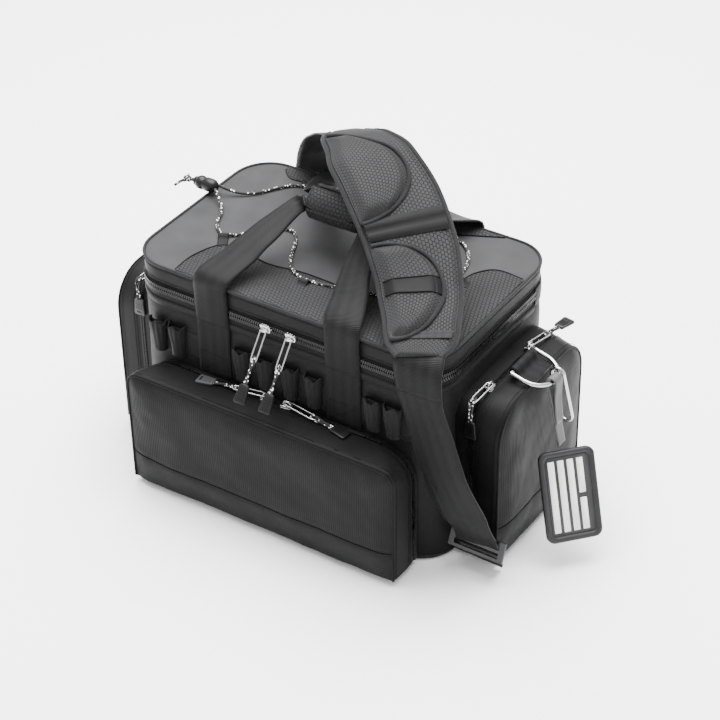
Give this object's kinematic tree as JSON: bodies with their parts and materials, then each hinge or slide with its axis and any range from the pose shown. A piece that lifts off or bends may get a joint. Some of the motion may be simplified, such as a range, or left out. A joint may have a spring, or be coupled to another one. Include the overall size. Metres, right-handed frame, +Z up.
{
  "type": "equipment shoulder bag",
  "caption": "Padded shoulder bag with hinged lid, outer pockets, tool loops, carrying handles, shaped shoulder pad, lacing cord and luggage tag.",
  "frame": {"origin": "centre of the base's underside, on the surface the bag stands on", "axes": "+X to the bag's right (the tag side), -Y to its front pocket, +Z up"},
  "size_m": [0.6826, 0.3655, 0.4547],
  "materials": {
    "coated_fabric": "smooth polyurethane-coated cloth",
    "ripstop_fabric": "ribbed ripstop cloth",
    "base_rubber": "ribbed moulded base",
    "board": "stiff sheet",
    "foam": "closed-cell foam panel in cloth",
    "lining": "brushed loop lining",
    "zip_tape": "coil zip and woven tape",
    "piping": "smooth corded edge",
    "elastic": "woven elastic",
    "webbing": "woven seat-belt webbing",
    "grip_fabric": "padded wrap",
    "pad_fabric": "hexagon-pattern cloth over foam",
    "flecked_cord": "braided cord with light flecks",
    "moulded_plastic": "moulded",
    "bright_metal": "polished nickel plate",
    "zip_metal": "polished nickel plate",
    "pull_parts": "wire loop, cord and moulded tab",
    "silicone": "satin silicone",
    "tag_card": "printed card with blank strips"
  },
  "bodies": {
    "bag_body": {"base_skin": "base_rubber", "base_board": "board", "front_wall_foam": "foam", "rear_wall_foam": "foam", "side_wall_foam": "foam", "outer_skin": "coated_fabric", "inner_liner": "lining", "body_zip_tape": "zip_tape", "tool_loops": "elastic", "handle_anchors": "webbing", "front_pocket_base": "coated_fabric", "right_pocket_base": "coated_fabric", "left_pocket_base": "coated_fabric", "strap_rear_leg": "webbing", "strap_anchors": "webbing", "rear_strap_buckle": "bright_metal"},
    "lid": {"lid_skin": "coated_fabric", "lid_foam": "foam", "lid_zip_tape": "zip_tape", "lid_piping": "piping", "shock_cord": "flecked_cord", "cord_tabs": "moulded_plastic", "cord_lock_barrel": "moulded_plastic", "cord_knot": "flecked_cord"},
    "lock_button": {"cord_lock_button": "moulded_plastic"},
    "divider_left": {"left_divider": "lining"},
    "divider_right": {"right_divider": "lining"},
    "handle_front": {"front_handle": "webbing"},
    "handle_rear": {"rear_handle": "webbing", "grip_wrap": "grip_fabric"},
    "handle_flap": {"grip_flap": "grip_fabric"},
    "strap": {"strap_webbing": "webbing", "shoulder_pad": "pad_fabric", "pad_cushions": "pad_fabric"},
    "strap_end": {"strap_front_leg": "webbing", "front_strap_buckle": "bright_metal"},
    "pocket_front": {"front_pocket_shell": "ripstop_fabric"},
    "pocket_right": {"right_pocket_shell": "ripstop_fabric", "d_ring_tab": "webbing"},
    "pocket_left": {"left_pocket_shell": "ripstop_fabric"},
    "ring": {"d_ring": "bright_metal"},
    "tag": {"tag_strap": "silicone", "tag_frame": "silicone", "tag_card": "tag_card"},
    "hook": {"snap_hook": "bright_metal"},
    "hook_gate": {"snap_hook_gate": "bright_metal"},
    "main_zip_left": {"main_slider_left": "zip_metal"},
    "main_zip_left_pull": {"main_pull_left": "pull_parts"},
    "front_pocket_zip_left": {"front_pocket_slider_left": "zip_metal"},
    "front_pocket_zip_left_pull": {"front_pocket_pull_left": "pull_parts"},
    "main_zip_right": {"main_slider_right": "zip_metal"},
    "main_zip_right_pull": {"main_pull_right": "pull_parts"},
    "front_pocket_zip_right": {"front_pocket_slider_right": "zip_metal"},
    "front_pocket_zip_right_pull": {"front_pocket_pull_right": "pull_parts"},
    "right_front_zip": {"right_front_slider": "zip_metal"},
    "right_front_zip_pull": {"right_front_pull": "pull_parts"},
    "right_rear_zip": {"right_rear_slider": "zip_metal"},
    "right_rear_zip_pull": {"right_rear_pull": "pull_parts"},
    "left_front_zip": {"left_front_slider": "zip_metal"},
    "left_front_zip_pull": {"left_front_pull": "pull_parts"}
  },
  "joints": [
    {"name": "lid_hinge", "type": "hinge", "parent": "bag_body", "child": "lid", "pos_m": [0, 0.1385, 0.271], "axis": [-1, 0, 0], "range_deg": [0, 95], "deforming": ["front_handle", "strap_rear_leg", "strap_front_leg"]},
    {"name": "strap_swing", "type": "hinge", "parent": "bag_body", "child": "strap", "pos_m": [0, 0.1385, 0.271], "axis": [-1, 0, 0], "range_deg": [0, 96]},
    {"name": "strap_end_swing", "type": "hinge", "parent": "strap", "child": "strap_end", "pos_m": [0.208, -0.156, 0.266], "axis": [-1, 0, 0], "range_deg": [-58, 0]},
    {"name": "rear_handle_swing", "type": "hinge", "parent": "bag_body", "child": "handle_rear", "pos_m": [0, 0.1422, 0.262], "axis": [-1, 0, 0], "range_deg": [0, 96]},
    {"name": "front_handle_swing", "type": "hinge", "parent": "bag_body", "child": "handle_front", "pos_m": [0, -0.1422, 0.262], "axis": [1, 0, 0], "range_deg": [0, 144]},
    {"name": "grip_flap_hinge", "type": "hinge", "parent": "handle_rear", "child": "handle_flap", "pos_m": [0, 0, 0.3895], "axis": [-1, 0, 0], "range_deg": [0, 48]},
    {"name": "lock_button_press", "type": "slide", "parent": "lid", "child": "lock_button", "axis": [1, 0, 0], "range_m": [0, 0.004], "stiffness_N_per_m": 400, "springref_m": -0.004},
    {"name": "left_divider_slide", "type": "slide", "parent": "bag_body", "child": "divider_left", "axis": [1, 0, 0], "range_m": [-0.03, 0.03]},
    {"name": "right_divider_slide", "type": "slide", "parent": "bag_body", "child": "divider_right", "axis": [1, 0, 0], "range_m": [-0.03, 0.03]},
    {"name": "front_pocket_opening", "type": "hinge", "parent": "bag_body", "child": "pocket_front", "pos_m": [0, -0.196, 0.0093], "axis": [1, 0, 0], "range_deg": [0, 75]},
    {"name": "right_pocket_opening", "type": "hinge", "parent": "bag_body", "child": "pocket_right", "pos_m": [0.284, 0, 0.0093], "axis": [0, 1, 0], "range_deg": [0, 45]},
    {"name": "left_pocket_opening", "type": "hinge", "parent": "bag_body", "child": "pocket_left", "pos_m": [-0.284, 0, 0.0093], "axis": [0, -1, 0], "range_deg": [0, 45]},
    {"name": "d_ring_swing", "type": "hinge", "parent": "pocket_right", "child": "ring", "pos_m": [0.256, 0, 0.24], "axis": [0, -1, 0], "range_deg": [0, 100]},
    {"name": "tag_swing", "type": "hinge", "parent": "ring", "child": "tag", "pos_m": [0.2982, 0, 0.2287], "axis": [0, -1, 0], "range_deg": [0, 50]},
    {"name": "hook_swing", "type": "hinge", "parent": "ring", "child": "hook", "pos_m": [0.2944, 0.015, 0.2297], "axis": [0, -1, 0], "range_deg": [0, 20]},
    {"name": "main_zip_left_slide", "type": "slide", "parent": "bag_body", "child": "main_zip_left", "axis": [1, 0, 0], "range_m": [-0.04, 0]},
    {"name": "main_zip_right_slide", "type": "slide", "parent": "bag_body", "child": "main_zip_right", "axis": [1, 0, 0], "range_m": [0, 0.035]},
    {"name": "main_zip_left_pull_swing", "type": "hinge", "parent": "main_zip_left", "child": "main_zip_left_pull", "pos_m": [-0.015, -0.1453, 0.271], "axis": [-1, 0, 0], "range_deg": [0, 80]},
    {"name": "main_zip_right_pull_swing", "type": "hinge", "parent": "main_zip_right", "child": "main_zip_right_pull", "pos_m": [0.021, -0.1453, 0.271], "axis": [-1, 0, 0], "range_deg": [0, 80]},
    {"name": "front_pocket_zip_left_slide", "type": "slide", "parent": "pocket_front", "child": "front_pocket_zip_left", "axis": [1, 0, 0], "range_m": [-0.06, 0]},
    {"name": "front_pocket_zip_left_pull_swing", "type": "hinge", "parent": "front_pocket_zip_left", "child": "front_pocket_zip_left_pull", "pos_m": [-0.014, -0.1473, 0.1773], "axis": [0, 1, 0], "range_deg": [0, 6]},
    {"name": "front_pocket_zip_right_slide", "type": "slide", "parent": "pocket_front", "child": "front_pocket_zip_right", "axis": [1, 0, 0], "range_m": [0, 0.06]},
    {"name": "front_pocket_zip_right_pull_swing", "type": "hinge", "parent": "front_pocket_zip_right", "child": "front_pocket_zip_right_pull", "pos_m": [0.016, -0.1473, 0.1773], "axis": [0, -1, 0], "range_deg": [0, 6]},
    {"name": "right_front_zip_slide", "type": "slide", "parent": "pocket_right", "child": "right_front_zip", "axis": [0, 1, 0], "range_m": [-0.012, 0]},
    {"name": "right_rear_zip_slide", "type": "slide", "parent": "pocket_right", "child": "right_rear_zip", "axis": [0, 1, 0], "range_m": [0, 0.03]},
    {"name": "left_front_zip_slide", "type": "slide", "parent": "pocket_left", "child": "left_front_zip", "axis": [0, 1, 0], "range_m": [-0.012, 0]},
    {"name": "right_front_zip_pull_swing", "type": "hinge", "parent": "right_front_zip", "child": "right_front_zip_pull", "pos_m": [0.2423, -0.054, 0.2353], "axis": [-1, 0, 0], "range_deg": [0, 60]},
    {"name": "right_rear_zip_pull_swing", "type": "hinge", "parent": "right_rear_zip", "child": "right_rear_zip_pull", "pos_m": [0.2423, 0.04, 0.2353], "axis": [1, 0, 0], "range_deg": [0, 80]},
    {"name": "left_front_zip_pull_swing", "type": "hinge", "parent": "left_front_zip", "child": "left_front_zip_pull", "pos_m": [-0.2423, -0.054, 0.2353], "axis": [-1, 0, 0], "range_deg": [0, 60]},
    {"name": "hook_gate_swing", "type": "hinge", "parent": "hook", "child": "hook_gate", "pos_m": [0.28678, 0.015, 0.22458], "axis": [0, -1, 0], "range_deg": [0, 10], "stiffness_Nm_per_rad": 0.02, "springref_deg": -8.59}
  ],
  "couplings": [
    {"joint": "strap_swing", "follows": "lid_hinge", "ratio": 1},
    {"joint": "strap_end_swing", "follows": "lid_hinge", "ratio": -0.6},
    {"joint": "rear_handle_swing", "follows": "lid_hinge", "ratio": 1},
    {"joint": "front_handle_swing", "follows": "lid_hinge", "ratio": 1.5},
    {"joint": "grip_flap_hinge", "follows": "lid_hinge", "ratio": 0.5}
  ]
}
